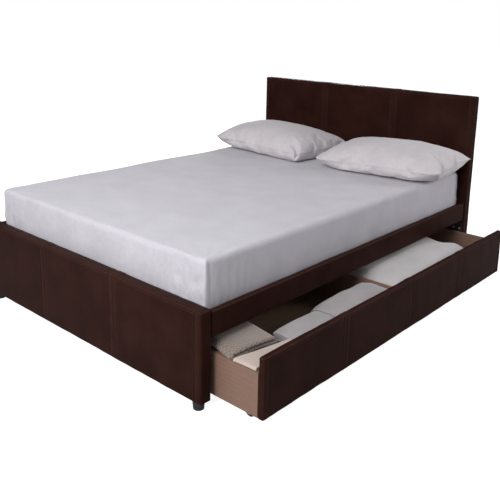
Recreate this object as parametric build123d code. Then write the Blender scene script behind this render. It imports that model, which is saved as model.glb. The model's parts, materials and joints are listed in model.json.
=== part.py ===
"""Double platform bed with a leatherette headboard, footboard and side rails, and two long drawers on castors.

Frame, in millimetres: the origin is on the floor at the middle of the bed, under the centre leg.
+X is the bed's right side, where the drawer stands open. +Y points to the headboard, and +Z is up.
"""

import os

from build123d import *

# Overall sizes
BED_WIDTH = 1450
BED_LENGTH = 2050
HEADBOARD_TOP = 943
HEADBOARD_THICK = 57
FOOTBOARD_TOP = 380
FOOTBOARD_THICK = 52
FOOT_HEIGHT = 36

# Upholstery
PAD_FRONT = 10
PAD_SIDE = 5
PAD_BACK = 4
BOARD_EDGE_RADIUS = 9
BACK_WRAP = 60
LINING_THICK = 2.5
LINING_GAP = 1

# Side rails
RAIL_OUTER = 720
RAIL_INNER = 695
RAIL_TOP = 366
RAIL_BOTTOM = 269
RAIL_PAD = 3.5
RAIL_EDGE_RADIUS = 7
RAIL_END_GAP = 6

# Slats and what carries them
SLAT_COUNT = 12
SLAT_WIDTH = 80
SLAT_THICK = 18
SLAT_TOP = 315
SLAT_REACH = 688
SLAT_FIRST = 900
LEDGE_WIDTH = 25
LEDGE_REACH = 940
BEAM_WIDTH = 40
BEAM_HEIGHT = 60
LEG_WIDTH = 40
LEG_SPACING = 500
GLIDE_RADIUS = 25
GLIDE_HEIGHT = 8
LEDGE_LIFT = 1

# Steel brackets, hangers, bolts and screws
STEEL = 5
HOLE_PLAY = 0.2
BRACKET_INNER_X = 655
BRACKET_OUTER_X = 716
BRACKET_LOW = 198
BRACKET_HIGH = 352
BRACKET_REACH = 88
BOARD_BOLTS = [(705, 221), (672, 221), (672, 300)]
BOLT_RADIUS = 4
BOLT_LENGTH = 28
BOLT_HEAD_RADIUS = 7
BOLT_HEAD_HEIGHT = 4.5
BOLT_HEAD_ROUNDING = 1.2
RAIL_BOLT_LENGTH = 18
RAIL_BOLT_Z = 335
RAIL_BOLT_Y = (925, 900)
HANGER_SHEET = 3
HANGER_REACH = 45
HANGER_EAR = 16
SCREW_RADIUS = 1.8
SCREW_PLAY = 0.1
SLAT_SCREW_HEAD = 3.8
SLAT_SCREW_HEAD_DEPTH = 4
SLAT_SCREW_LENGTH = 34

# Corner feet
FOOT_X = 688
FOOT_LOW_RADIUS = 20
FOOT_HIGH_RADIUS = 23

# Drawers, measured with the drawer closed
FRONT_OUTER = RAIL_OUTER
FRONT_THICK = 25
FRONT_BOTTOM = 40
FRONT_TOP = 265
FRONT_REACH = 950
FRONT_PAD = 4
BOX_DEPTH = 600
BOX_WALL = 15
BOX_TOP = 206
BOX_BOTTOM = 41
DIVIDER_THICK = 12
PANEL_UNDERSIDE = 52
PANEL_THICK = 9
OPEN_AT_REST = 224

# Castors
WHEEL_RADIUS = 22
WHEEL_WIDTH = 18
AXLE_RADIUS = 4
AXLE_PLAY = 0.05
FORK_SHEET = 3
FORK_GAP = 1
FORK_HALF = 18
FORK_PLATE_HALF = 34
CASTOR_SCREW_OFFSET = 26
CASTOR_SCREW_HEAD = 3.6
CASTOR_FRONT_X = 628
CASTOR_BACK_X = 165
CASTOR_Y = 905

# Soft goods
SOFT_GAP = 0.3
MATTRESS_HALF_WIDTH = 676
MATTRESS_HALF_LENGTH = 955
MATTRESS_THICK = 218
MATTRESS_CORNER = 70
MATTRESS_EDGE = 32
PILLOW_Y = (468, 950)
PILLOW_LEFT_X = (-733, -6)
PILLOW_RIGHT_X = (16, 769)
PILLOW_THICK = 165
PILLOW_CORNER = 90
PILLOW_EDGE = 66
LINEN_GAP = 1
BLANKET_BACK = 400
BLANKET_END = -690
BLANKET_TOP = 228
SHEETS_BACK = 490
SHEETS_TOP = 212
DUVET_BACK = 300
DUVET_END = 736
DUVET_TOP = 240

HALF_WIDTH = BED_WIDTH / 2
HALF_LENGTH = BED_LENGTH / 2
HEADBOARD_FACE = HALF_LENGTH - HEADBOARD_THICK
FOOTBOARD_FACE = -HALF_LENGTH + FOOTBOARD_THICK
SLAT_BOTTOM = SLAT_TOP - SLAT_THICK
BEAM_BOTTOM = SLAT_BOTTOM - BEAM_HEIGHT
BOX_FRONT = FRONT_OUTER - FRONT_THICK
BOX_BACK = BOX_FRONT - BOX_DEPTH
PANEL_TOP = PANEL_UNDERSIDE + PANEL_THICK


def block(x, y, z):
    """A box between the two values given for each axis."""
    size = [span[1] - span[0] for span in (x, y, z)]
    middle = [(span[1] + span[0]) / 2 for span in (x, y, z)]
    return Pos(*middle) * Box(*size)


def rod(start, direction, radius, length):
    """A cylinder that begins at start and runs along direction."""
    plane = Plane(origin=start, z_dir=direction)
    return plane * Cylinder(radius, length, align=(Align.CENTER, Align.CENTER, Align.MIN))


def group(solids):
    return Compound(children=list(solids))


def other_side(part):
    return mirror(part, about=Plane.YZ)


# ---- headboard and footboard ----


def board_bolt_holes(face, into):
    """Clearance holes for the bracket bolts of one board, on both sides of the bed."""
    holes = []
    for x, z in BOARD_BOLTS:
        for side in (-1, 1):
            holes.append(rod((side * x, face, z), (0, into, 0), BOLT_RADIUS + HOLE_PLAY, BOLT_LENGTH))
    return holes


def board(front, back, top):
    """The core and the padded cover of a board whose padded face is at y = front."""
    outside = block((-HALF_WIDTH, HALF_WIDTH), (front, back), (FOOT_HEIGHT, top))
    upper_edges = [e for e in outside.edges() if e.center().Z > FOOT_HEIGHT]
    outside = fillet(upper_edges, BOARD_EDGE_RADIUS)
    half = HALF_WIDTH - PAD_SIDE
    core = block((-half, half), (front + PAD_FRONT, back - PAD_BACK), (FOOT_HEIGHT, top - PAD_SIDE))
    return core, outside - core


def headboard():
    core, cover = board(HEADBOARD_FACE, HALF_LENGTH, HEADBOARD_TOP)
    half = HALF_WIDTH - BACK_WRAP
    window_top = HEADBOARD_TOP - BACK_WRAP
    cover -= block((-half, half), (HALF_LENGTH - PAD_BACK, HALF_LENGTH), (FOOT_HEIGHT, window_top))
    lining_low = HALF_LENGTH - PAD_BACK
    lining = block(
        (LINING_GAP - half, half - LINING_GAP),
        (lining_low, lining_low + LINING_THICK),
        (FOOT_HEIGHT + LINING_GAP, window_top - LINING_GAP),
    )
    for hole in board_bolt_holes(HEADBOARD_FACE, 1):
        core -= hole
        cover -= hole
    return core, cover, lining


def footboard():
    core, cover = board(-HALF_LENGTH, FOOTBOARD_FACE, FOOTBOARD_TOP)
    for hole in board_bolt_holes(FOOTBOARD_FACE, -1):
        core -= hole
        cover -= hole
    return core, cover


def corner_feet():
    """Four round feet that taper towards the floor."""
    foot_y = [-HALF_LENGTH + FOOTBOARD_THICK / 2, HALF_LENGTH - HEADBOARD_THICK / 2]
    upright = (Align.CENTER, Align.CENTER, Align.MIN)
    foot = Cone(FOOT_LOW_RADIUS, FOOT_HIGH_RADIUS, FOOT_HEIGHT, align=upright)
    foot = fillet(foot.edges().sort_by(Axis.Z)[0], 2)
    return group(Pos(x, y, 0) * foot for y in foot_y for x in (-FOOT_X, FOOT_X))


# ---- side rails and brackets ----


def bolt(seat, direction, length):
    """A button-head bolt: the head's underside is at seat, and the shank runs along direction."""
    away = tuple(-d for d in direction)
    head = rod(seat, away, BOLT_HEAD_RADIUS, BOLT_HEAD_HEIGHT)
    head = fillet(head.edges().filter_by(GeomType.CIRCLE), BOLT_HEAD_ROUNDING)
    return head + rod(seat, direction, BOLT_RADIUS, length)


def rail_bolt_places():
    """(y, z) of the bolts that go through the brackets into the right rail."""
    return [(end * y, RAIL_BOLT_Z) for end in (-1, 1) for y in RAIL_BOLT_Y]


def right_rail():
    """The rail's core and the wrap around its four long faces."""
    low, high = FOOTBOARD_FACE + RAIL_END_GAP, HEADBOARD_FACE - RAIL_END_GAP
    outside = block((RAIL_INNER, RAIL_OUTER), (low, high), (RAIL_BOTTOM, RAIL_TOP))
    outside = fillet(outside.edges().filter_by(Axis.Y), RAIL_EDGE_RADIUS)
    core = block(
        (RAIL_INNER + RAIL_PAD, RAIL_OUTER - RAIL_PAD),
        (low, high),
        (RAIL_BOTTOM + RAIL_PAD, RAIL_TOP - RAIL_PAD),
    )
    cover = outside - core
    for y, z in rail_bolt_places():
        hole = rod((RAIL_INNER, y, z), (1, 0, 0), BOLT_RADIUS + HOLE_PLAY, RAIL_BOLT_LENGTH)
        core -= hole
        cover -= hole
    return core, cover


def right_bracket(face, inward):
    """An angle bracket: one plate flat on the board at y = face, one on the rail's inner side."""
    seat = face + inward * STEEL
    near, far = sorted((face, seat))
    board_plate = block((BRACKET_INNER_X, BRACKET_OUTER_X), (near, far), (BRACKET_LOW, BRACKET_HIGH))
    low, high = sorted((seat, face + inward * BRACKET_REACH))
    rail_plate = block((RAIL_INNER - STEEL, RAIL_INNER), (low, high), (SLAT_BOTTOM + 2, BRACKET_HIGH))
    plate = board_plate + rail_plate
    for x, z in BOARD_BOLTS:
        plate -= rod((x, face, z), (0, inward, 0), BOLT_RADIUS + HOLE_PLAY, STEEL)
    for y, z in rail_bolt_places():
        if y * inward < 0:
            plate -= rod((RAIL_INNER - STEEL, y, z), (1, 0, 0), BOLT_RADIUS + HOLE_PLAY, STEEL)
    return plate


def corner_brackets():
    right = [right_bracket(FOOTBOARD_FACE, 1), right_bracket(HEADBOARD_FACE, -1)]
    return group(right + [other_side(b) for b in right])


def frame_bolts():
    right = []
    for face, inward in ((FOOTBOARD_FACE, 1), (HEADBOARD_FACE, -1)):
        for x, z in BOARD_BOLTS:
            seat = (x, face + inward * STEEL, z)
            right.append(bolt(seat, (0, -inward, 0), BOLT_LENGTH))
    for y, z in rail_bolt_places():
        right.append(bolt((RAIL_INNER - STEEL, y, z), (1, 0, 0), RAIL_BOLT_LENGTH + STEEL - 1))
    return group(right + [other_side(b) for b in right])


# ---- slats, ledges, beam and legs ----


def slat_places():
    step = 2 * SLAT_FIRST / (SLAT_COUNT - 1)
    return [-SLAT_FIRST + i * step for i in range(SLAT_COUNT)]


def slat_screw(side, y, play=0):
    """A countersunk screw through a slat's end into the ledge, or with play, the hole for it."""
    x = side * (RAIL_INNER - LEDGE_WIDTH / 2)
    shank = SCREW_RADIUS + play
    half_head = SLAT_SCREW_HEAD_DEPTH / 2
    cone = Cone(shank, SLAT_SCREW_HEAD + play, SLAT_SCREW_HEAD_DEPTH)
    head = Pos(x, y, SLAT_TOP - half_head + play) * cone
    return head + rod((x, y, SLAT_TOP - half_head), (0, 0, -1), shank, SLAT_SCREW_LENGTH)


def slat(y):
    half = SLAT_WIDTH / 2
    plank = block((-SLAT_REACH, SLAT_REACH), (y - half, y + half), (SLAT_BOTTOM, SLAT_TOP))
    plank = fillet(plank.edges().filter_by(Axis.X), 2.5)
    for side in (-1, 1):
        plank -= slat_screw(side, y, SCREW_PLAY)
    return plank


def slat_ledges():
    ledge = block(
        (RAIL_INNER - LEDGE_WIDTH, RAIL_INNER),
        (-LEDGE_REACH, LEDGE_REACH),
        (RAIL_BOTTOM + LEDGE_LIFT, SLAT_BOTTOM),
    )
    for y in slat_places():
        ledge -= slat_screw(1, y, SCREW_PLAY)
    return group([ledge, other_side(ledge)])


def slat_screws():
    return group(slat_screw(side, y) for y in slat_places() for side in (-1, 1))


def centre_rail():
    half = BEAM_WIDTH / 2
    low, high = FOOTBOARD_FACE + STEEL + 1, HEADBOARD_FACE - STEEL - 1
    beam = block((-half, half), (low, high), (BEAM_BOTTOM, SLAT_BOTTOM))
    return fillet(beam.edges().filter_by(Axis.Y), 2)


def hanger(face, inward):
    """A steel stirrup under one end of the beam: a back plate, a shelf and two cheeks."""
    half = BEAM_WIDTH / 2 + 0.5
    near, far = sorted((face, face + inward * STEEL))
    low, high = sorted((face + inward * STEEL, face + inward * HANGER_REACH))
    outer = half + HANGER_SHEET
    ear = outer + HANGER_EAR
    back = block((-ear, ear), (near, far), (BEAM_BOTTOM - HANGER_SHEET, SLAT_BOTTOM - 4))
    shelf = block((-outer, outer), (low, high), (BEAM_BOTTOM - HANGER_SHEET, BEAM_BOTTOM))
    cheek = block((half, outer), (low, high), (BEAM_BOTTOM, SLAT_BOTTOM - 14))
    return back + shelf + cheek + other_side(cheek)


def centre_rail_hangers():
    return group([hanger(FOOTBOARD_FACE, 1), hanger(HEADBOARD_FACE, -1)])


def centre_legs():
    half = LEG_WIDTH / 2
    leg = block((-half, half), (-half, half), (GLIDE_HEIGHT, BEAM_BOTTOM))
    leg = fillet(leg.edges().filter_by(Axis.Z), 3)
    return group(Pos(0, i * LEG_SPACING, 0) * leg for i in (-1, 0, 1))


def leg_glides():
    glide = Cylinder(GLIDE_RADIUS, GLIDE_HEIGHT, align=(Align.CENTER, Align.CENTER, Align.MIN))
    glide = fillet(glide.edges().sort_by(Axis.Z)[0], 1.5)
    return group(Pos(0, i * LEG_SPACING, 0) * glide for i in (-1, 0, 1))


# ---- mattress and pillows ----


def soft_block(x, y, z, corner, edge):
    """A plain block with rounded upright corners and softened top and bottom edges."""
    solid = block(x, y, z)
    solid = fillet(solid.edges().filter_by(Axis.Z), corner)
    ends = [f for f in solid.faces() if abs(f.normal_at().Z) > 0.9]
    return fillet([e for f in ends for e in f.edges()], edge)


def mattress():
    bottom = SLAT_TOP + SOFT_GAP
    return soft_block(
        (-MATTRESS_HALF_WIDTH, MATTRESS_HALF_WIDTH),
        (-MATTRESS_HALF_LENGTH, MATTRESS_HALF_LENGTH),
        (bottom, bottom + MATTRESS_THICK),
        MATTRESS_CORNER,
        MATTRESS_EDGE,
    )


def pillow(x):
    bottom = SLAT_TOP + MATTRESS_THICK + 2 * SOFT_GAP
    return soft_block(x, PILLOW_Y, (bottom, bottom + PILLOW_THICK), PILLOW_CORNER, PILLOW_EDGE)


# ---- drawer, on the right side and closed ----


def drawer_front():
    outside = block((BOX_FRONT, FRONT_OUTER), (-FRONT_REACH, FRONT_REACH), (FRONT_BOTTOM, FRONT_TOP))
    upper_edges = [e for e in outside.edges() if e.center().Z > FRONT_BOTTOM + 1]
    outside = fillet(upper_edges, RAIL_EDGE_RADIUS)
    reach = FRONT_REACH - FRONT_PAD
    core = block(
        (BOX_FRONT + FRONT_PAD, FRONT_OUTER - FRONT_PAD),
        (-reach, reach),
        (FRONT_BOTTOM, FRONT_TOP - FRONT_PAD),
    )
    return core, outside - core


def drawer_side(end):
    near, far = sorted((end * (FRONT_REACH - BOX_WALL), end * FRONT_REACH))
    return block((BOX_BACK, BOX_FRONT), (near, far), (BOX_BOTTOM, BOX_TOP))


def drawer_back():
    reach = FRONT_REACH - BOX_WALL
    return block((BOX_BACK, BOX_BACK + BOX_WALL), (-reach, reach), (BOX_BOTTOM, BOX_TOP))


def drawer_divider():
    half = DIVIDER_THICK / 2
    return block((BOX_BACK + BOX_WALL, BOX_FRONT), (-half, half), (PANEL_TOP, BOX_TOP))


def castor_places():
    return [(x, y) for x in (CASTOR_BACK_X, CASTOR_FRONT_X) for y in (-CASTOR_Y, 0, CASTOR_Y)]


def castor_screw_places():
    """Two screws beside each wheel, in front of and behind its fork."""
    offsets = (-CASTOR_SCREW_OFFSET, CASTOR_SCREW_OFFSET)
    return [(x + dx, y) for x, y in castor_places() for dx in offsets]


def castor_screw(x, y, play=0):
    """A pan-head screw from below through a fork into the panel, or with play, the hole for it."""
    seat = PANEL_UNDERSIDE - FORK_SHEET
    head = Pos(x, y, seat - 1) * Cylinder(CASTOR_SCREW_HEAD, 2)
    length = FORK_SHEET + PANEL_THICK - 2 + play
    return head + rod((x, y, seat), (0, 0, 1), SCREW_RADIUS + play, length)


def drawer_bottom():
    reach = FRONT_REACH - BOX_WALL
    panel = block((BOX_BACK + BOX_WALL, BOX_FRONT), (-reach, reach), (PANEL_UNDERSIDE, PANEL_TOP))
    for x, y in castor_screw_places():
        panel -= castor_screw(x, y, SCREW_PLAY)
    return panel


def castor_fork(x, y):
    """A top plate and two cheeks, with the axle's holes through the cheeks."""
    inner = WHEEL_WIDTH / 2 + FORK_GAP
    outer = inner + FORK_SHEET
    seat = PANEL_UNDERSIDE - FORK_SHEET
    plate_x = (x - FORK_PLATE_HALF, x + FORK_PLATE_HALF)
    fork = block(plate_x, (y - outer, y + outer), (seat, PANEL_UNDERSIDE))
    for side in (-1, 1):
        near, far = sorted((y + side * inner, y + side * outer))
        cheek = block((x - FORK_HALF, x + FORK_HALF), (near, far), (WHEEL_RADIUS, seat))
        round_end = rod((x, near, WHEEL_RADIUS), (0, 1, 0), FORK_HALF * 0.6, far - near)
        fork += cheek + round_end
    fork -= rod((x, y - outer - 1, WHEEL_RADIUS), (0, 1, 0), AXLE_RADIUS + 0.02, 2 * outer + 2)
    for dx in (-CASTOR_SCREW_OFFSET, CASTOR_SCREW_OFFSET):
        fork -= rod((x + dx, y, seat), (0, 0, 1), SCREW_RADIUS + HOLE_PLAY, FORK_SHEET)
    return fork


def castor_axle(x, y):
    """A pin with a flat head outside each cheek."""
    outer = WHEEL_WIDTH / 2 + FORK_GAP + FORK_SHEET
    pin = rod((x, y - outer, WHEEL_RADIUS), (0, 1, 0), AXLE_RADIUS, 2 * outer)
    heads = [rod((x, y + s * outer, WHEEL_RADIUS), (0, s, 0), AXLE_RADIUS + 2, 2) for s in (-1, 1)]
    return pin + heads[0] + heads[1]


def castor_wheel(x, y):
    half = WHEEL_WIDTH / 2
    wheel = rod((x, y - half, WHEEL_RADIUS), (0, 1, 0), WHEEL_RADIUS, WHEEL_WIDTH)
    wheel = fillet(wheel.edges().filter_by(GeomType.CIRCLE), 3)
    return wheel - rod((x, y - half, WHEEL_RADIUS), (0, 1, 0), AXLE_RADIUS + AXLE_PLAY, WHEEL_WIDTH)


def wheel_row(x):
    return group(castor_wheel(x, y) for y in (-CASTOR_Y, 0, CASTOR_Y))


def drawer():
    """Every piece of one empty drawer, on the right side and closed."""
    front_core, front_cover = drawer_front()
    return {
        "front_core": front_core,
        "front_cover": front_cover,
        "side_foot": drawer_side(-1),
        "side_head": drawer_side(1),
        "back": drawer_back(),
        "divider": drawer_divider(),
        "bottom": drawer_bottom(),
        "castor_forks": group(castor_fork(x, y) for x, y in castor_places()),
        "castor_axles": group(castor_axle(x, y) for x, y in castor_places()),
        "castor_screws": group(castor_screw(x, y) for x, y in castor_screw_places()),
        "wheels_front": wheel_row(CASTOR_FRONT_X),
        "wheels_back": wheel_row(CASTOR_BACK_X),
    }


def stored_linen():
    """What lies in the right drawer, given as for a closed drawer."""
    floor = PANEL_TOP + SOFT_GAP
    front = BOX_FRONT - LINEN_GAP
    wall = FRONT_REACH - BOX_WALL - LINEN_GAP
    beside = DIVIDER_THICK / 2 + 2 * LINEN_GAP
    blanket = soft_block((BLANKET_BACK, front), (-wall, BLANKET_END), (floor, BLANKET_TOP), 30, 25)
    sheets_y = (BLANKET_END + 6 * LINEN_GAP, -beside)
    sheets = soft_block((SHEETS_BACK, front), sheets_y, (floor, SHEETS_TOP), 30, 20)
    duvet = soft_block((DUVET_BACK, front), (beside, DUVET_END), (floor, DUVET_TOP), 60, 45)
    return {"stored_blanket": blanket, "stored_sheets": sheets, "stored_duvet": duvet}


def all_nodes():
    head_core, head_cover, head_lining = headboard()
    foot_core, foot_cover = footboard()
    rail_core, rail_cover = right_rail()
    nodes = {
        "headboard_core": head_core,
        "headboard_cover": head_cover,
        "headboard_back_cloth": head_lining,
        "footboard_core": foot_core,
        "footboard_cover": foot_cover,
        "side_rail_right_core": rail_core,
        "side_rail_right_cover": rail_cover,
        "side_rail_left_core": other_side(rail_core),
        "side_rail_left_cover": other_side(rail_cover),
        "slat_ledges": slat_ledges(),
        "centre_rail": centre_rail(),
        "centre_legs": centre_legs(),
        "leg_glides": leg_glides(),
        "corner_feet": corner_feet(),
        "corner_brackets": corner_brackets(),
        "centre_rail_hangers": centre_rail_hangers(),
        "frame_bolts": frame_bolts(),
        "slat_screws": slat_screws(),
        "mattress": mattress(),
        "pillow_left": pillow(PILLOW_LEFT_X),
        "pillow_right": pillow(PILLOW_RIGHT_X),
    }
    for number, y in enumerate(slat_places(), 1):
        nodes[f"slat_{number:02d}"] = slat(y)
    for name, part in {**drawer(), **stored_linen()}.items():
        own_name = name if name.startswith("stored") else f"drawer_right_{name}"
        nodes[own_name] = Pos(OPEN_AT_REST, 0, 0) * part
    for name, part in drawer().items():
        nodes[f"drawer_left_{name}"] = other_side(part)
    return nodes


os.makedirs("parts", exist_ok=True)
for node, part in all_nodes().items():
    export_step(part, f"parts/{node}.step")
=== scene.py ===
import json
import math

import bpy
import numpy as np
from mathutils import Matrix, Vector


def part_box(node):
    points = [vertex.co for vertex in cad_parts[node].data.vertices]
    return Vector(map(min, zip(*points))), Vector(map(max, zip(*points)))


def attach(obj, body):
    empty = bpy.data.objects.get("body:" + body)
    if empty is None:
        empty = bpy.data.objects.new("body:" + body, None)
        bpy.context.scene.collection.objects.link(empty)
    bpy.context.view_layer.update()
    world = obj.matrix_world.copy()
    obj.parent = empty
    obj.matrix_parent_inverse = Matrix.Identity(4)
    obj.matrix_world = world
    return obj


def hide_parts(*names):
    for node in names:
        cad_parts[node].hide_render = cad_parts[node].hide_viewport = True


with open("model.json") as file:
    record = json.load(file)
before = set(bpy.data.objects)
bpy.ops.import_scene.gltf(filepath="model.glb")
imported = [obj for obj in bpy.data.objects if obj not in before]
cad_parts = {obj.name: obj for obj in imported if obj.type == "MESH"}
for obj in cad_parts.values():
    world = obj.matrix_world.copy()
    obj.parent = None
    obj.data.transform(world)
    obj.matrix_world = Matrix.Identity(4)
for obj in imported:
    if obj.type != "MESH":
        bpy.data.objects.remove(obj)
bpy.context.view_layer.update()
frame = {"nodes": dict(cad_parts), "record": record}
scene = bpy.context.scene

# ---- camera: the photograph's viewing angle ----

# Metres, degrees and, for the lens, millimetres.
CAMERA_PLACE = (2.2564, -2.4948, 1.3624)
CAMERA_YAW, CAMERA_PITCH, CAMERA_ROLL = 41.953, 13.011, 0.988
CAMERA_LENS, CAMERA_SENSOR, CAMERA_FAR = 49.36, 36, 200
CAMERA_SHIFT_Y = -0.16


def add_camera():
    yaw, pitch, roll = (math.radians(v) for v in (CAMERA_YAW, CAMERA_PITCH, CAMERA_ROLL))
    ahead = Vector((-math.sin(yaw) * math.cos(pitch), math.cos(yaw) * math.cos(pitch), -math.sin(pitch)))
    level = Vector((math.cos(yaw), math.sin(yaw), 0))
    up = level.cross(ahead)
    right = level * math.cos(roll) + up * math.sin(roll)
    top = up * math.cos(roll) - level * math.sin(roll)
    camera = bpy.data.objects.new("camera", bpy.data.cameras.new("camera"))
    camera.data.lens = CAMERA_LENS
    camera.data.sensor_width = CAMERA_SENSOR
    camera.data.shift_y = CAMERA_SHIFT_Y
    camera.data.clip_end = CAMERA_FAR
    turn = Matrix((right, top, -ahead)).transposed().to_4x4()
    camera.matrix_world = Matrix.Translation(CAMERA_PLACE) @ turn
    scene.collection.objects.link(camera)
    scene.camera = camera


add_camera()

# ---- mesh helpers ----


def make_object(name, points, faces):
    mesh = bpy.data.meshes.new(name)
    corners = [tuple(f) for f in np.asarray(faces).tolist()]
    mesh.from_pydata(np.asarray(points, float).tolist(), [], corners)
    mesh.shade_smooth()
    made = bpy.data.objects.new(name, mesh)
    scene.collection.objects.link(made)
    return made


def set_attribute(obj, name, values):
    """Stores one number, or one vector, for each point of the mesh."""
    values = np.asarray(values, np.float32)
    kind, key = ("FLOAT", "value") if values.ndim == 1 else ("FLOAT_VECTOR", "vector")
    obj.data.attributes.new(name, kind, "POINT").data.foreach_set(key, values.ravel())


def finish_piece(obj, body, slot, nodes=(), material=None):
    """Gives a piece its material and its body, and hides the CAD nodes that it stands for."""
    obj.data.materials.append(material or MATERIALS[slot])
    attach(obj, body)
    if nodes:
        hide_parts(*nodes)
    return obj


def level_square(half):
    return [(-half, -half, 0), (half, -half, 0), (half, half, 0), (-half, half, 0)]


def lattice(lines):
    """A closed box of quads whose corners are the crossings of three sets of grid lines."""
    shape = [len(v) for v in lines]
    outer = np.ones(shape, bool)
    outer[1:-1, 1:-1, 1:-1] = False
    number = np.full(shape, -1)
    number[outer] = np.arange(outer.sum())
    spots = np.argwhere(outer)
    points = np.stack([np.asarray(lines[a])[spots[:, a]] for a in range(3)], 1)
    faces = []
    for axis in range(3):
        for end in (0, -1):
            side = np.moveaxis(number, axis, 0)[end]
            corners = (side[:-1, :-1], side[1:, :-1], side[1:, 1:], side[:-1, 1:])
            quads = np.stack(corners, -1).reshape(-1, 4)
            outward = (end == -1) != (axis == 1)
            faces.append(quads if outward else quads[:, ::-1])
    return points, np.concatenate(faces)


def round_box(points, low_radii, high_radii):
    """Moves the points of a box onto one with rounded edges. Also returns the outward directions."""
    low_radii, high_radii = np.asarray(low_radii), np.asarray(high_radii)
    centre = np.clip(points, points.min(0) + low_radii, points.max(0) - high_radii)
    radii = np.where(points < centre, low_radii, high_radii)
    reach = (points - centre) / radii
    reach /= np.linalg.norm(reach, axis=1, keepdims=True)
    outward = reach / radii
    outward /= np.linalg.norm(outward, axis=1, keepdims=True)
    return centre + radii * reach, outward


# Distances of the extra lines from a mark, and their shares of a rounding.
MARK_STEPS = (0, 0.0007, 0.0014, 0.0023, 0.004, 0.007)
ROUNDING_SHARES = (0.2, 0.42, 0.67, 1)
LEAST_STEP, LEAST_END_STEP = 0.0005, 0.0004


def grid_lines(lo, hi, step, marks=(), rounding=(0.0, 0.0)):
    """Evenly spaced values with more of them beside each mark and within each end's rounding."""
    values = list(np.linspace(lo, hi, max(2, round((hi - lo) / step) + 1)))
    values += [m + s * d for m in marks for s in (-1, 1) for d in MARK_STEPS]
    for share in ROUNDING_SHARES:
        values += [lo + rounding[0] * share, hi - rounding[1] * share]
    values = sorted(v for v in values if lo <= v <= hi)
    kept = [lo]
    for v in values:
        if v - kept[-1] > LEAST_STEP and hi - v > LEAST_END_STEP:
            kept.append(v)
    return np.array(kept + [hi])


RIPPLE_LENGTHS = (0.7, 1.5)


def ripples(points, length, seed, stretch=(1, 1, 1), count=9):
    """Smooth unevenness from -1 to 1: a few plane waves of about that length with fixed directions."""
    chance = np.random.default_rng(seed)
    total = np.zeros(len(points))
    for _ in range(count):
        direction = chance.normal(size=3)
        direction /= np.linalg.norm(direction)
        wave = 2 * np.pi / (length * chance.uniform(*RIPPLE_LENGTHS))
        total += np.sin((points / np.asarray(stretch)) @ direction * wave + chance.uniform(0, 2 * np.pi))
    return total / math.sqrt(count)


def bump_at(t, width):
    """1 at t = 0, falling to 0 beyond width."""
    return np.exp(-((t / width) ** 2))


def step_up(t, width):
    """0 well below t = 0 and 1 well above it."""
    return 1 / (1 + np.exp(-np.clip(4 * t / width, -40, 40)))


# ---- materials ----

# Threads or rings per metre, divided by this, are the scale of a wave texture.
WAVE_SCALE = 6.28


def new_material(name):
    material = bpy.data.materials.new(name)
    material.use_nodes = True
    return material, material.node_tree, material.node_tree.nodes["Principled BSDF"]


def put(tree, kind, inputs=None, **settings):
    """Adds a node. An input's value is a number, a colour or another node's output."""
    node = tree.nodes.new(kind)
    for key, value in settings.items():
        setattr(node, key, value)
    for key, value in (inputs or {}).items():
        if isinstance(value, bpy.types.NodeSocket):
            tree.links.new(value, node.inputs[key])
        else:
            node.inputs[key].default_value = value
    return node


def place_of(tree, scale=(1, 1, 1)):
    """The point on the piece, in metres, with each axis scaled."""
    where = put(tree, "ShaderNodeTexCoord").outputs["Object"]
    return put(tree, "ShaderNodeMapping", {"Vector": where, "Scale": scale}).outputs["Vector"]


def noise_of(tree, where, scale, detail=3.0, rough=0.55):
    inputs = {"Vector": where, "Scale": scale, "Detail": detail, "Roughness": rough}
    return put(tree, "ShaderNodeTexNoise", inputs).outputs["Fac"]


def arith(tree, operation, a, b):
    return put(tree, "ShaderNodeMath", {0: a, 1: b}, operation=operation).outputs["Value"]


def weighted(tree, first, second):
    """The sum of two values, each given with its weight."""
    return arith(tree, "ADD", arith(tree, "MULTIPLY", *first), arith(tree, "MULTIPLY", *second))


def spread_of(tree, value, source, target=(0.0, 1.0)):
    """Carries a value from one range to another."""
    inputs = {"Value": value, "From Min": source[0], "From Max": source[1]}
    inputs.update({"To Min": target[0], "To Max": target[1]})
    return put(tree, "ShaderNodeMapRange", inputs).outputs["Result"]


def mix_of(tree, share, low, high):
    made = put(tree, "ShaderNodeMix", {"Factor": share}, data_type="RGBA")
    for key, value in ((6, low), (7, high)):
        if isinstance(value, bpy.types.NodeSocket):
            tree.links.new(value, made.inputs[key])
        else:
            made.inputs[key].default_value = (*value, 1)
    return made.outputs[2]


def bumps(tree, shader, layers):
    """Chains bump nodes, given as (height, strength, distance in metres)."""
    normal = None
    for height, strength, distance in layers:
        inputs = {"Height": height, "Strength": strength, "Distance": distance}
        if normal is not None:
            inputs["Normal"] = normal
        normal = put(tree, "ShaderNodeBump", inputs).outputs["Normal"]
    tree.links.new(normal, shader.inputs["Normal"])


def wire(tree, shader, colour, roughness):
    tree.links.new(colour, shader.inputs["Base Color"])
    tree.links.new(roughness, shader.inputs["Roughness"])


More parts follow.
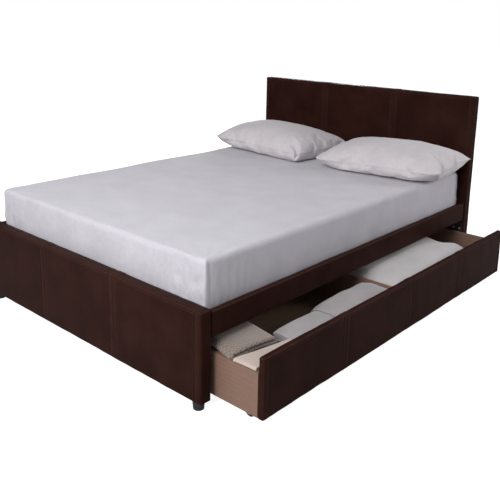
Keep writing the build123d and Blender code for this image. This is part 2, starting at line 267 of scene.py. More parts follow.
def leather_material(name, dark, light, worn_and_lit):
    """Coated cloth: small pebbles with dark creases between them, paler where it is worn and where a
    highlight is painted on its edges, seams and raised bands.
    """
    material, tree, shader = new_material(name)
    where = place_of(tree)
    inputs = {"Vector": where, "Scale": 420.0}
    grain = put(tree, "ShaderNodeTexVoronoi", inputs, feature="DISTANCE_TO_EDGE").outputs["Distance"]
    pebbles = spread_of(tree, grain, (0.0, 0.28))
    fine = noise_of(tree, where, scale=900.0, detail=2.0)
    broad = noise_of(tree, where, scale=7.0, detail=4.0)
    puckers = noise_of(tree, where, scale=38.0, detail=2.0, rough=0.4)
    patches = noise_of(tree, where, scale=60.0)
    colour = mix_of(tree, spread_of(tree, broad, (0.35, 0.68)), dark, light)
    creases = spread_of(tree, pebbles, (0.0, 0.5), (0.25, 0.0))
    colour = mix_of(tree, creases, colour, tuple(0.5 * c for c in dark))
    # The pale share read here is wear mixed with a painted highlight on edges, seams and raised bands.
    wear_and_highlight = put(tree, "ShaderNodeAttribute", attribute_name="wear_and_highlight").outputs["Fac"]
    patchy = arith(tree, "MULTIPLY", wear_and_highlight, spread_of(tree, patches, (0.3, 0.65), (0.35, 1.0)))
    roughness = spread_of(tree, arith(tree, "ADD", broad, fine), (0.7, 1.3), (0.34, 0.5))
    wire(tree, shader, mix_of(tree, patchy, colour, worn_and_lit), roughness)
    shader.inputs["Specular IOR Level"].default_value = 0.035
    shader.inputs["Specular Tint"].default_value = (1.0, 0.62, 0.54, 1)
    bumps(tree, shader, [(puckers, 0.35, 0.0012), (pebbles, 0.5, 0.0002), (fine, 0.3, 0.00008)])
    return material


def cloth_material(name, low, high, weave=1400.0, crease=0.0015):
    """Plain woven cotton: threads both ways, small slubs, soft creases and a little sheen."""
    material, tree, shader = new_material(name)
    where = place_of(tree)
    slubs = noise_of(tree, place_of(tree, (1.0, 9.0, 1.0)), scale=55.0)
    broad = noise_of(tree, where, scale=9.0, detail=4.0, rough=0.5)
    shade = spread_of(tree, arith(tree, "ADD", broad, slubs), (0.75, 1.25))
    roughness = spread_of(tree, slubs, (0.3, 0.7), (0.78, 0.92))
    wire(tree, shader, mix_of(tree, shade, low, high), roughness)
    threads = None
    for direction in "XYZ":
        inputs = {"Vector": where, "Scale": weave / WAVE_SCALE, "Distortion": 0.6, "Detail": 1.0}
        band = put(tree, "ShaderNodeTexWave", inputs, bands_direction=direction).outputs["Fac"]
        threads = band if threads is None else arith(tree, "MAXIMUM", threads, band)
    shader.inputs["Sheen Weight"].default_value = 0.35
    shader.inputs["Sheen Roughness"].default_value = 0.5
    shader.inputs["Specular IOR Level"].default_value = 0.25
    bumps(tree, shader, [(broad, 0.5, crease), (slubs, 0.3, 0.0003), (threads, 0.25, 0.00012)])
    return material


def waffle_material(name, low, high):
    """A blanket woven in small raised squares, on the cloth's own length and width."""
    material, tree, shader = new_material(name)
    cloth = put(tree, "ShaderNodeAttribute", attribute_name="cloth").outputs["Vector"]
    turned_cloth = put(tree, "ShaderNodeMapping", {"Vector": cloth, "Rotation": (0, 0, 0.5)})
    ribs = []
    for direction in "XY":
        inputs = {"Vector": turned_cloth.outputs["Vector"], "Scale": 38.0}
        inputs.update({"Distortion": 0.8, "Detail": 1.0, "Detail Scale": 2.0})
        band = put(tree, "ShaderNodeTexWave", inputs, bands_direction=direction)
        ribs.append(band.outputs["Fac"])
    squares = arith(tree, "MAXIMUM", *ribs)
    fuzz = noise_of(tree, place_of(tree), scale=420.0)
    broad = noise_of(tree, place_of(tree), scale=11.0)
    shade = weighted(tree, (squares, 0.75), (broad, 0.35))
    colour = mix_of(tree, spread_of(tree, shade, (0.25, 0.95)), low, high)
    wire(tree, shader, colour, spread_of(tree, fuzz, (0.3, 0.7), (0.85, 0.97)))
    shader.inputs["Sheen Weight"].default_value = 0.4
    shader.inputs["Specular IOR Level"].default_value = 0.2
    bumps(tree, shader, [(squares, 0.6, 0.0018), (fuzz, 0.4, 0.0004)])
    return material


def wood_material(name, pale, dark, along, pitch=0.011, knots=0.0):
    """Sawn or printed wood whose grain runs along one axis: 0, 1 or 2."""
    material, tree, shader = new_material(name)
    scale = [1.0, 1.0, 1.0]
    scale[along] = 0.045
    where = place_of(tree, scale)
    inputs = {"Vector": where, "Scale": 1 / (WAVE_SCALE * pitch)}
    inputs.update({"Distortion": 7.0, "Detail": 3.0, "Detail Scale": 1.6})
    settings = {"bands_direction": "Z" if along != 2 else "X", "wave_profile": "SAW"}
    waves = put(tree, "ShaderNodeTexWave", inputs, **settings).outputs["Fac"]
    fibres = noise_of(tree, where, scale=420.0, detail=4.0, rough=0.7)
    broad = noise_of(tree, where, scale=14.0)
    shade = weighted(tree, (waves, 0.26), (fibres, 0.74))
    shade = arith(tree, "ADD", shade, arith(tree, "MULTIPLY", broad, knots))
    colour = mix_of(tree, spread_of(tree, shade, (0.25, 0.85)), pale, dark)
    wire(tree, shader, colour, spread_of(tree, fibres, (0.3, 0.7), (0.5, 0.64)))
    bumps(tree, shader, [(fibres, 0.3, 0.00015), (waves, 0.2, 0.0001)])
    return material


def chip_material(name, pale, dark):
    """Pressed wood chips."""
    material, tree, shader = new_material(name)
    where = place_of(tree)
    inputs = {"Vector": where, "Scale": 260.0}
    chips = put(tree, "ShaderNodeTexVoronoi", inputs, distance="CHEBYCHEV").outputs["Distance"]
    crumbs = noise_of(tree, where, scale=700.0)
    shade = arith(tree, "ADD", chips, arith(tree, "MULTIPLY", crumbs, 0.6))
    colour = mix_of(tree, spread_of(tree, shade, (0.3, 1.0)), pale, dark)
    wire(tree, shader, colour, spread_of(tree, crumbs, (0.3, 0.7), (0.75, 0.9)))
    bumps(tree, shader, [(chips, 0.5, 0.0003)])
    return material


def hard_material(name, low, high, metallic, rough):
    """Metal or plastic with a fine moulded, coated or brushed surface and a little dulling."""
    material, tree, shader = new_material(name)
    where = place_of(tree)
    fine = noise_of(tree, where, scale=600.0, rough=0.6)
    broad = noise_of(tree, where, scale=24.0, detail=4.0)
    colour = mix_of(tree, spread_of(tree, broad, (0.35, 0.65)), low, high)
    dull = weighted(tree, (fine, 0.5), (broad, 0.5))
    wire(tree, shader, colour, spread_of(tree, dull, (0.35, 0.65), (rough - 0.08, rough + 0.1)))
    shader.inputs["Metallic"].default_value = metallic
    bumps(tree, shader, [(fine, 0.35, 0.00005)])
    return material


def lining_material(name, low, high):
    """Non-woven lining cloth with a grid of pressed dots, slightly puckered."""
    material, tree, shader = new_material(name)
    where = place_of(tree)
    inputs = {"Vector": where, "Scale": 330.0, "Randomness": 0.15}
    dots = put(tree, "ShaderNodeTexVoronoi", inputs).outputs["Distance"]
    pressed = spread_of(tree, dots, (0.15, 0.4))
    fluff = noise_of(tree, place_of(tree, (3.0, 1.0, 1.0)), scale=240.0, detail=4.0)
    broad = noise_of(tree, where, scale=6.0, rough=0.5)
    shade = weighted(tree, (pressed, 0.4), (fluff, 0.6))
    wire(tree, shader, mix_of(tree, shade, low, high), spread_of(tree, fluff, (0.3, 0.7), (0.8, 0.95)))
    bumps(tree, shader, [(broad, 0.6, 0.006), (pressed, 0.4, 0.0002), (fluff, 0.3, 0.0002)])
    return material


# Dark and light leatherette, and the pale colour laid on for wear and a painted highlight.
LEATHER = ((0.0215, 0.0074, 0.0056), (0.034, 0.0124, 0.0098), (0.085, 0.038, 0.029))
MATERIALS = {
    "leatherette": leather_material("leatherette", *LEATHER),
    "lining_cloth": lining_material("lining_cloth", (0.012, 0.012, 0.013), (0.03, 0.03, 0.032)),
    "chipboard": chip_material("chipboard", (0.52, 0.38, 0.24), (0.30, 0.20, 0.12)),
    "pine": wood_material("pine", (0.72, 0.53, 0.33), (0.52, 0.34, 0.19), 0, knots=0.25),
    "drawer_wood": wood_material("drawer_wood", (0.25, 0.148, 0.108), (0.17, 0.096, 0.069), 0, pitch=0.007),
    # The drawer panel's colours are darkened as painted shade, standing in for the deep shade inside the
    # drawer under the bed.
    "drawer_panel": wood_material("drawer_panel", (0.3, 0.2, 0.14), (0.2, 0.125, 0.085), 1, pitch=0.01),
    "black_steel": hard_material("black_steel", (0.011, 0.011, 0.012), (0.022, 0.022, 0.022), 0.0, 0.42),
    "zinc_steel": hard_material("zinc_steel", (0.55, 0.55, 0.53), (0.72, 0.72, 0.7), 1.0, 0.34),
    "black_plastic": hard_material("black_plastic", (0.008, 0.009, 0.009), (0.016, 0.018, 0.018), 0.0, 0.42),
    "wheel_plastic": hard_material("wheel_plastic", (0.01, 0.01, 0.01), (0.02, 0.02, 0.02), 0.0, 0.48),
    "white_sheet": cloth_material("white_sheet", (0.475, 0.455, 0.5), (0.54, 0.52, 0.565)),
    "pillow_cotton": cloth_material("pillow_cotton", (0.56, 0.517, 0.54), (0.64, 0.595, 0.615), crease=0.004),
    # The colours of the blanket and the linen stored in the drawer are set low: partly the cloth's own tone,
    # partly painted shade for the shaded inside of the drawer.
    "grey_blanket": waffle_material("grey_blanket", (0.125, 0.094, 0.078), (0.275, 0.22, 0.188)),
    "cream_linen": cloth_material("cream_linen", (0.3, 0.275, 0.28), (0.37, 0.34, 0.345), crease=0.004),
    "white_linen": cloth_material("white_linen", (0.47, 0.445, 0.45), (0.55, 0.52, 0.52), crease=0.006),
}
CREAM = cloth_material("cream_towel", (0.43, 0.35, 0.305), (0.5, 0.415, 0.365), weave=900.0)
TICKING = cloth_material("ticking", (0.58, 0.58, 0.56), (0.68, 0.68, 0.66), weave=900.0)
THREAD = hard_material("thread", (0.034, 0.017, 0.014), (0.055, 0.03, 0.025), 0.0, 0.6)

for subpart in frame["record"]["subparts"]:
    node = frame["nodes"][subpart["node"]]
    for place in node.material_slots:
        place.material = MATERIALS[subpart["material_slot"]]

# ---- leatherette: boards, rails and drawer fronts ----

# Distances of the sewn lines from a seam, an end and the top edge, in metres.
TWIN, BORDER, TOP_LINE = 0.021, 0.025, 0.013
LINE_OVERRUN = 0.003
# How far a cover reaches past its CAD node, so that no edge of the node shows.
HANG_BELOW = 0.0015
# How far the cover stands out or is drawn in, each with its width.
BAND_RISE, BAND_EDGE = 0.0011, 0.004
SEAM_DEPTH, SEAM_WIDTH = 0.0017, 0.0013
TWIN_DEPTH, TWIN_WIDTH = 0.0013, 0.0016
BORDER_DEPTH, BORDER_WIDTH = 0.0013, 0.0015
RIM_RISE, RIM_EDGE = 0.0008, 0.004
PUFF, PUFF_REACH = 0.0016, 0.03
# Shares of the pale colour, which is wear mixed with a painted highlight on raised bands, seam lines, rims
# and edges, most of it on the upper edges.
BAND_WEAR_AND_HIGHLIGHT, SEAM_WEAR_AND_HIGHLIGHT, RIM_WEAR_AND_HIGHLIGHT, UPPER_EDGE_HIGHLIGHT, EDGE_WEAR_AND_HIGHLIGHT = 0.13, 0.1, 0.1, 0.4, 0.14
EDGE_ON = 0.29
BOTTOM_RADIUS = 0.003
THICKNESS_STEP = 0.012
WINDOW_DEPTH, WINDOW_EDGE = 0.0045, 0.002
# A stitch is a short thread with pointed ends: (place along it, thickness) for each ring.
STITCH, STITCH_PITCH, THREAD_RADIUS = 0.0062, 0.0088, 0.00055
STITCH_RISE, STITCH_SINK = 0.0003, 0.0004
STITCH_RINGS, STITCH_SIDES = ((-0.5, 0.3), (-0.34, 1.0), (0.34, 1.0), (0.5, 0.3)), 6
STITCH_WIDE, STITCH_TALL = 1.25, 0.8


class Skin:
    """A leatherette cover over one CAD cover: long is its long axis, out the side its face looks to."""

    def __init__(self, node, long, out, seams, framed, radius, end_radius, step):
        self.lo, self.hi = (np.array(v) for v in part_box(node))
        self.long, self.thin, self.out = long, 1 - long, out
        self.seams, self.framed = seams, framed
        self.radius, self.end_radius, self.step = radius, end_radius, step
        self.lo[2] -= HANG_BELOW
        if end_radius < radius:
            self.lo[long] -= HANG_BELOW
            self.hi[long] += HANG_BELOW

    def marks(self):
        along = [s + d for s in self.seams for d in (-TWIN, 0, TWIN)]
        if self.framed:
            along += [self.lo[self.long] + BORDER, self.hi[self.long] - BORDER]
        return along

    def height(self, points, outward):
        """How far the cover stands out from its plain shape, and its pale share: wear mixed with a painted
        highlight.
        """
        along, up = points[:, self.long], points[:, 2]
        facing = np.clip(outward[:, self.thin] * self.out, 0, 1) ** 2
        across = (np.abs(outward[:, self.long]) < 0.7) * np.clip(1 + 1.4 * outward[:, 2], 0, 1)
        ends = np.minimum(along - self.lo[self.long], self.hi[self.long] - along)
        top = self.hi[2] - up
        out = 0.00035 * ripples(points, 0.09, 5, (1, 1, 1.4)) + 0.0004 * ripples(points, 0.3, 6)
        wear_and_highlight = np.zeros(len(points))
        room = np.minimum(np.minimum(ends, top), up - self.lo[2])
        for number, seam in enumerate(self.seams):
            t = np.abs(along - seam)
            band = 1 - step_up(t - TWIN, BAND_EDGE)
            lines = SEAM_DEPTH * bump_at(t, SEAM_WIDTH)
            twins = TWIN_DEPTH * bump_at(t - TWIN, TWIN_WIDTH)
            out += across * (BAND_RISE * band - lines - twins)
            gather = ripples(points, 0.021, 20 + number, (3, 3, 1))
            out += across * 0.0005 * gather * bump_at(t - TWIN - 0.004, 0.012)
            # Painted highlight mixed with wear on the raised band and along the seam line.
            wear_and_highlight = np.maximum(wear_and_highlight, BAND_WEAR_AND_HIGHLIGHT * band * across)
            wear_and_highlight = np.where(bump_at(t, 0.0015) * across > 0.5, SEAM_WEAR_AND_HIGHLIGHT, wear_and_highlight)
            room = np.minimum(room, np.maximum(t - TWIN, 0))
        if self.framed:
            below = (top > TOP_LINE - LINE_OVERRUN) * 1.0
            within = ends > BORDER - LINE_OVERRUN
            out -= facing * below * BORDER_DEPTH * bump_at(ends - BORDER, BORDER_WIDTH)
            out -= facing * within * BORDER_DEPTH * bump_at(top - TOP_LINE, BORDER_WIDTH)
            rim = np.minimum(ends - BORDER, top - TOP_LINE)
            out += facing * RIM_RISE * (1 - step_up(rim, RIM_EDGE))
            out += facing * 0.0003 * ripples(points, 0.019, 41) * bump_at(rim - 0.004, 0.01)
            # Painted highlight mixed with wear on the raised rim inside the border.
            wear_and_highlight = np.maximum(wear_and_highlight, RIM_WEAR_AND_HIGHLIGHT * facing * (1 - step_up(rim, RIM_EDGE)))
        out += facing * PUFF * (1 - np.exp(-np.maximum(room, 0) / PUFF_REACH))
        # Painted highlight along the rounded edges, strongest on the upper ones, mixed with wear.
        edge = np.clip((1 - np.max(np.abs(outward), axis=1)) / EDGE_ON, 0, 1)
        wear_and_highlight = np.maximum(wear_and_highlight, edge * UPPER_EDGE_HIGHLIGHT * (outward[:, 2] > 0.3))
        wear_and_highlight = np.maximum(wear_and_highlight, edge * EDGE_WEAR_AND_HIGHLIGHT * (outward[:, 2] > -0.2))
        return out, wear_and_highlight

    def build(self, name, window=None):
        """The cover's mesh. A window is the half width and the top of the recess behind it."""
        z_marks = [self.hi[2] - TOP_LINE] if self.framed else []
        marks = self.marks()
        if window:
            marks += [-window[0], window[0]]
            z_marks.append(window[1])
        lines = [None, None, None]
        lo, hi = self.lo, self.hi
        e, r = self.end_radius, self.radius
        lines[self.long] = grid_lines(lo[self.long], hi[self.long], self.step * 1.6, marks, (e, e))
        lines[self.thin] = grid_lines(lo[self.thin], hi[self.thin], THICKNESS_STEP, (), (r, r))
        lines[2] = grid_lines(lo[2], hi[2], self.step, z_marks, (BOTTOM_RADIUS, r))
        points, faces = lattice(lines)
        low, high = np.full(3, r), np.full(3, r)
        low[2] = BOTTOM_RADIUS if self.framed else r
        low[self.long] = high[self.long] = e
        points, outward = round_box(points, low, high)
        out, wear_and_highlight = self.height(points, outward)
        if window:
            behind = outward[:, self.thin] * self.out < -0.9
            inside = step_up(window[0] - np.abs(points[:, self.long]), WINDOW_EDGE)
            out -= behind * WINDOW_DEPTH * inside * step_up(window[1] - points[:, 2], WINDOW_EDGE)
        made = make_object(name, points + outward * out[:, None], faces)
        # The pale share, wear mixed with a painted highlight, goes to the material as an attribute.
        set_attribute(made, "wear_and_highlight", wear_and_highlight)
        return made

    def sewn_lines(self):
        """Where the rows of stitches start and end, as pairs of places along the cover and up it."""
        lo, hi = self.lo[self.long], self.hi[self.long]
        low, high, top = self.lo[2] + 2 * BOTTOM_RADIUS, self.hi[2] - self.radius, self.hi[2] - TOP_LINE
        rows = [((s + d, low), (s + d, high)) for s in self.seams for d in (-TWIN, TWIN)]
        rows += [((end, low), (end, top)) for end in (lo + BORDER, hi - BORDER)]
        return rows + [((lo + BORDER, top), (hi - BORDER, top))]

    def stitches(self, name):
        """Rows of stitches on both sides of each seam and along the border."""
        spots, ways = [], []
        for start, end in self.sewn_lines():
            start, end = np.array(start), np.array(end)
            length = np.linalg.norm(end - start)
            count = int(length / STITCH_PITCH)
            at = (np.arange(count) + 0.5)[:, None] / count
            spots.append(start + at * (end - start))
            ways.append(np.repeat(((end - start) / length)[None], count, 0))
        spots, ways = np.concatenate(spots), np.concatenate(ways)
        points = np.zeros((len(spots), 3))
        points[:, self.long], points[:, 2] = spots[:, 0], spots[:, 1]
        points[:, self.thin] = self.hi[self.thin] if self.out > 0 else self.lo[self.thin]
        outward = np.zeros_like(points)
        outward[:, self.thin] = self.out
        out, _ = self.height(points, outward)
        centre = points + outward * (out + STITCH_RISE)[:, None]
        way = np.zeros_like(points)
        way[:, self.long], way[:, 2] = ways[:, 0], ways[:, 1]
        side = np.cross(way, outward)
        rings = []
        for share, size in STITCH_RINGS:
            sink = -outward * (STITCH_SINK if size < 1 else 0.0)
            for k in range(STITCH_SIDES):
                a = 2 * math.pi * k / STITCH_SIDES
                offset = side * math.cos(a) * STITCH_WIDE + outward * math.sin(a) * STITCH_TALL
                rings.append(centre + way * share * STITCH + offset * THREAD_RADIUS * size + sink)
        points = np.stack(rings, 1).reshape(-1, 3)
        one = []
        for ring in range(len(STITCH_RINGS) - 1):
            for k in range(STITCH_SIDES):
                a, b = (ring * STITCH_SIDES + v for v in (k, (k + 1) % STITCH_SIDES))
                one.append((a, b, b + STITCH_SIDES, a + STITCH_SIDES))
        first = np.arange(len(centre)) * len(rings)
        faces = np.array(one)[None] + first[:, None, None]
        return make_object(name, points, faces.reshape(-1, 4))


def cover(name, node, body, long, out, seams, window=None, framed=True, **sizes):
    shape = {"radius": 0.009, "end_radius": 0.009, "step": 0.007}
    shape.update(sizes)
    skin = Skin(node, long, out, seams, framed=framed, **shape)
    finish_piece(skin.build(name, window), body, "leatherette", [node])
    if framed:
        finish_piece(skin.stitches(name + "_stitches"), body, "leatherette", material=THREAD)


board_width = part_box("headboard_cover")[1].x * 2
board_seams = (-board_width / 6, board_width / 6)
lining_low, lining_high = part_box("headboard_back_cloth")
recess = (lining_high.x + 0.001, lining_high.z + 0.001)
cover("headboard_upholstery", "headboard_cover", "bed_frame", 0, -1, board_seams, recess)
cover("footboard_upholstery", "footboard_cover", "bed_frame", 0, -1, board_seams)
front_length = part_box("drawer_right_front_cover")[1].y * 2
front_seams = (-front_length / 4, 0.0, front_length / 4)
for side, out in (("right", 1), ("left", -1)):
    cover(f"side_rail_{side}_wrap", f"side_rail_{side}_cover", "bed_frame", 1, out, (),
          framed=False, radius=0.007, end_radius=0.0025, step=0.012)
    cover(f"drawer_{side}_front_upholstery", f"drawer_{side}_front_cover", f"drawer_{side}", 1, out,
          front_seams, radius=0.007, end_radius=0.007)

# ---- staples that hold the lining to the headboard's back ----

STAPLE_PITCH, STAPLE_INSET = 0.045, 0.009
STAPLE_HALF, STAPLE_ROUND = (0.0052, 0.0006, 0.0006), 0.0005
STAPLE_START, STAPLE_TILT, STAPLE_PROUD = 0.02, 0.12, 0.0002


def staples():
    """A row of staples just inside each edge of the lining cloth."""
    high = lining_high
    wide, tall = high.x - STAPLE_INSET, (lining_low.z + STAPLE_INSET, high.z - STAPLE_INSET)
    level_places = np.arange(-wide + STAPLE_START, wide, STAPLE_PITCH)
    upright_places = np.arange(tall[0] + STAPLE_START, tall[1], STAPLE_PITCH)
    spots = [(x, z, True) for z in tall for x in level_places]
    spots += [(x, z, False) for x in (-wide, wide) for z in upright_places]
    chance = np.random.default_rng(17)
    points, faces = [], []
    for x, z, level in spots:
        half = np.array(STAPLE_HALF)[[0, 1, 2] if level else [2, 1, 0]]
        bar, quads = lattice([np.linspace(-h, h, 4) for h in half])
        bar, _ = round_box(bar, (STAPLE_ROUND,) * 3, (STAPLE_ROUND,) * 3)
        tilt = chance.normal(0, STAPLE_TILT)
        cos, sin = math.cos(tilt), math.sin(tilt)
        bar = bar @ np.array([[cos, 0, sin], [0, 1, 0], [-sin, 0, cos]])
        faces.append(quads + sum(len(p) for p in points))
        points.append(bar + (x, high.y + STAPLE_PROUD, z))
    made = make_object("headboard_staples", np.concatenate(points), np.concatenate(faces))
    finish_piece(made, "bed_frame", "zinc_steel")


staples()

# ---- mattress and its fitted sheet ----

# Metres. The grid is fine within SHEET_FINE of each edge.
SHEET_HEM, SHEET_GAP = 0.07, 0.001
SHEET_FINE, SHEET_FINE_STEP, SHEET_MIDDLE_LINES, SHEET_TALL_STEP = 0.36, 0.006, 46, 0.008
SHEET_LOW_RADII, SHEET_HIGH_RADII = (0.014, 0.014, 0.012), (0.014, 0.014, 0.022)
SHEET_BULGE = 0.0045
GATHER_PITCH, GATHER_REACH, GATHER_SIDE, GATHER_FOOT = 0.036, 0.17, 0.0008, 0.0042
CORNER_SEAM = 0.0026
TUCK_PLACE, TUCK_WIDTH, TUCK_DEPTH = 0.02, 0.007, 0.0045
FAN_RISE, FAN_COUNT, FAN_PLACE, FAN_REACH = 0.0012, 17, 0.09, 0.13


def sheet_lines(lo, hi):
    """Grid lines that are close together at the edges and further apart in the middle."""
    lines = []
    for axis in (0, 1):
        fine = np.arange(SHEET_FINE_STEP, SHEET_FINE, SHEET_FINE_STEP)
        middle = np.linspace(lo[axis] + SHEET_FINE, hi[axis] - SHEET_FINE, SHEET_MIDDLE_LINES)
        parts = [[lo[axis]], lo[axis] + fine, middle, hi[axis] - fine[::-1], [hi[axis]]]
        lines.append(np.concatenate(parts))
    lines.append(grid_lines(lo[2], hi[2], SHEET_TALL_STEP, (), (0.012, 0.03)))
    return lines


def sheet_relief(points, outward, lo, hi):
    """How far the sheet stands out: soft waves, gathers at the corners, corner seams and a tuck."""
    rise = (points[:, 2] - lo[2]) / (hi[2] - lo[2])
    sideways = np.clip(1 - np.abs(outward[:, 2]), 0, 1)
    corner = [np.minimum(points[:, a] - lo[a], hi[a] - points[:, a]) for a in (0, 1)]
    corner = np.stack(corner, 1)
    away = np.max(corner, axis=1)
    out = SHEET_BULGE * sideways * np.sin(np.pi * np.clip(rise, 0, 1)) ** 0.7
    out += 0.0016 * ripples(points, 0.35, 1) + 0.0022 * sideways * ripples(points, 0.16, 2, (1, 1, 2.5))
    wander = [0.012 * ripples(points, 0.12, seed) for seed in (3, 4)]
    drift = points + np.stack([*wander, 0 * rise], 1)
    gather = ripples(drift, GATHER_PITCH, 7, (1, 1, 7), 6)
    gather = np.sign(gather) * np.abs(gather) ** 0.8
    foot = np.abs(outward[:, 1]) ** 2
    near = np.exp(-((away / GATHER_REACH) ** 2)) * (1.05 - 0.6 * rise)
    out += (GATHER_SIDE + GATHER_FOOT * foot) * sideways * gather * near
    out += 0.0007 * sideways * gather * (1 - rise) ** 1.5
    seam = np.abs(np.abs(outward[:, 0]) - np.abs(outward[:, 1])) + (away > 0.05)
    out += CORNER_SEAM * sideways * bump_at(seam, 0.1)
    tuck = np.abs(outward[:, 0]) ** 2 * sideways * bump_at(corner[:, 1] - TUCK_PLACE, TUCK_WIDTH)
    out -= TUCK_DEPTH * tuck * (0.35 + 0.65 * rise)
    over = np.clip(outward[:, 2], 0, 1)
    for x in (lo[0], hi[0]):
        for y in (lo[1], hi[1]):
            arm = points[:, :2] - (x, y)
            far = np.linalg.norm(arm, axis=1)
            turn = np.arctan2(np.abs(arm[:, 1]), np.abs(arm[:, 0]) + 1e-9)
            fan = np.sin(turn * FAN_COUNT + 2.2 * ripples(points, 0.3, 9))
            out += FAN_RISE * over * fan * bump_at(far - FAN_PLACE, FAN_REACH)
    return out


def fitted_sheet():
    """One layer of cloth over the mattress, with a hem under it and nothing in the middle below."""
    lo, hi = (np.array(v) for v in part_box("mattress"))
    lo[2] += SHEET_GAP
    flat, faces = lattice(sheet_lines(lo, hi))
    points, outward = round_box(flat, SHEET_LOW_RADII, SHEET_HIGH_RADII)
    points = points + outward * sheet_relief(points, outward, lo, hi)[:, None]
    centre = flat[faces].mean(1)
    rim = np.minimum(np.minimum(centre[:, 0] - lo[0], hi[0] - centre[:, 0]),
                     np.minimum(centre[:, 1] - lo[1], hi[1] - centre[:, 1]))
    faces = faces[(centre[:, 2] > lo[2] + 1e-5) | (rim < SHEET_HEM)]
    used, faces = np.unique(faces, return_inverse=True)
    made = make_object("fitted_sheet", points[used], faces.reshape(-1, 4))
    finish_piece(made, "bed_frame", "white_sheet")


BODY_INSET, BODY_TOP_INSET = 0.005, 0.006
BODY_ROUND = 0.03
QUILT_WAVES, QUILT_DEPTH = 22, 0.003


def mattress_body():
    """The quilted mattress under the sheet."""
    lo, hi = (np.array(v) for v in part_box("mattress"))
    lo += (BODY_INSET, BODY_INSET, 0.0)
    hi -= (BODY_INSET, BODY_INSET, BODY_TOP_INSET)
    round_ends = (BODY_ROUND, BODY_ROUND)
    lines = [grid_lines(lo[a], hi[a], s, (), round_ends) for a, s in enumerate((0.03, 0.03, 0.012))]
    points, faces = lattice(lines)
    points, outward = round_box(points, (*round_ends, 0.01), (*round_ends, 0.026))
    across, along = points[:, 0] * QUILT_WAVES, points[:, 1] * QUILT_WAVES
    quilting = np.abs(np.sin(across + along) * np.sin(across - along))
    out = -QUILT_DEPTH * np.abs(outward[:, 2]) * (1 - quilting) ** 3 - 0.0005
    made = make_object("mattress_body", points + outward * out[:, None], faces)
    finish_piece(made, "bed_frame", "white_sheet", ["mattress"], TICKING)


mattress_body()
fitted_sheet()

# ---- pillows, filled by a cloth simulation ----

# The case laid flat, its grid and how far apart its two layers start.
PILLOW_CUT, PILLOW_STEP, PILLOW_START = (0.8, 0.54), 0.0125, 0.012
PILLOW_BLUNT = 0.03
PILLOW_FRAMES, PILLOW_PRESSURE, PILLOW_GRAVITY = 32, 11.0, 0.3
PILLOW_MASS, PILLOW_DROP, CLOTH_DISTANCE = 0.2, 0.036, 0.004
CLOTH_STIFFNESS = {"tension": 15, "compression": 9, "shear": 7.5, "bending": 0.5}
CLOTH_DAMPING = {"tension": 15, "compression": 15, "shear": 15, "bending": 3}
# How far the crown stands above the CAD pillow, and the raised hem at the open end.
PILLOW_PROUD = 0.011
HEM_PLACE, HEM_WIDTH, HEM_RISE = 0.86, 0.02, 0.0012
PIPING = 0.0011


def envelope(width, depth, step, swell):
    """Two layers of cloth joined around their edge and hardly apart. Also returns the edge loop.

    Its two corners towards the foot of the bed are blunt.
    """
    across, deep = (np.linspace(-1, 1, round(v / step) + 1) for v in (width, depth))
    across, deep = np.meshgrid(across, deep, indexing="ij")
    inner = np.zeros(across.shape, bool)
    inner[1:-1, 1:-1] = True
    lift = swell * np.sqrt((1 - across**4) * (1 - deep**4))
    blunt = PILLOW_BLUNT * np.abs(across) ** 7 * np.clip(-deep, 0, 1) ** 7
    flat = [across * width / 2 - np.sign(across) * blunt, deep * depth / 2 + blunt]
    top = np.arange(across.size).reshape(across.shape)
    bottom = top.copy()
    bottom[inner] = across.size + np.arange(inner.sum())
    points = [np.stack([*flat, lift], -1).reshape(-1, 3), np.stack([*flat, -lift], -1)[inner]]
    faces = []
    for layer in (top, bottom.T):
        corners = (layer[:-1, :-1], layer[1:, :-1], layer[1:, 1:], layer[:-1, 1:])
        faces.append(np.stack(corners, -1).reshape(-1, 4))
    edge = np.concatenate([top[:-1, 0], top[-1, :-1], top[:0:-1, -1], top[0, :0:-1]])
    return np.concatenate(points), np.concatenate(faces), edge


def inflated(points, faces, skew):
    """The same points after the cloth has been filled and has settled on a surface tilted by skew."""
    bag = make_object("pillow_bag", points, faces)
    surface = make_object("pillow_rest", level_square(1), [(0, 1, 2, 3)])
    surface.location = (0, 0, -PILLOW_DROP)
    surface.rotation_euler = (0, skew, 0)
    surface.modifiers.new("rest", "COLLISION")
    surface.collision.thickness_outer = CLOTH_DISTANCE
    cloth = bag.modifiers.new("cloth", "CLOTH")
    settings = cloth.settings
    settings.quality = 8
    settings.mass = PILLOW_MASS
    for kind in CLOTH_STIFFNESS:
        setattr(settings, kind + "_stiffness", CLOTH_STIFFNESS[kind])
        setattr(settings, kind + "_damping", CLOTH_DAMPING[kind])
    settings.air_damping = 5
    settings.use_pressure = True
    settings.uniform_pressure_force = PILLOW_PRESSURE
    settings.effector_weights.gravity = PILLOW_GRAVITY
    cloth.collision_settings.use_collision = True
    cloth.collision_settings.distance_min = CLOTH_DISTANCE
    cloth.point_cache.frame_start = 1
    cloth.point_cache.frame_end = PILLOW_FRAMES
    for number in range(1, PILLOW_FRAMES + 1):
        scene.frame_set(number)
    filled = bag.evaluated_get(bpy.context.evaluated_depsgraph_get()).to_mesh()
    places = np.zeros(len(points) * 3)
    filled.vertices.foreach_get("co", places)
    scene.frame_set(1)
    for used in (bag, surface):
        bpy.data.objects.remove(used)
    return places.reshape(-1, 3)


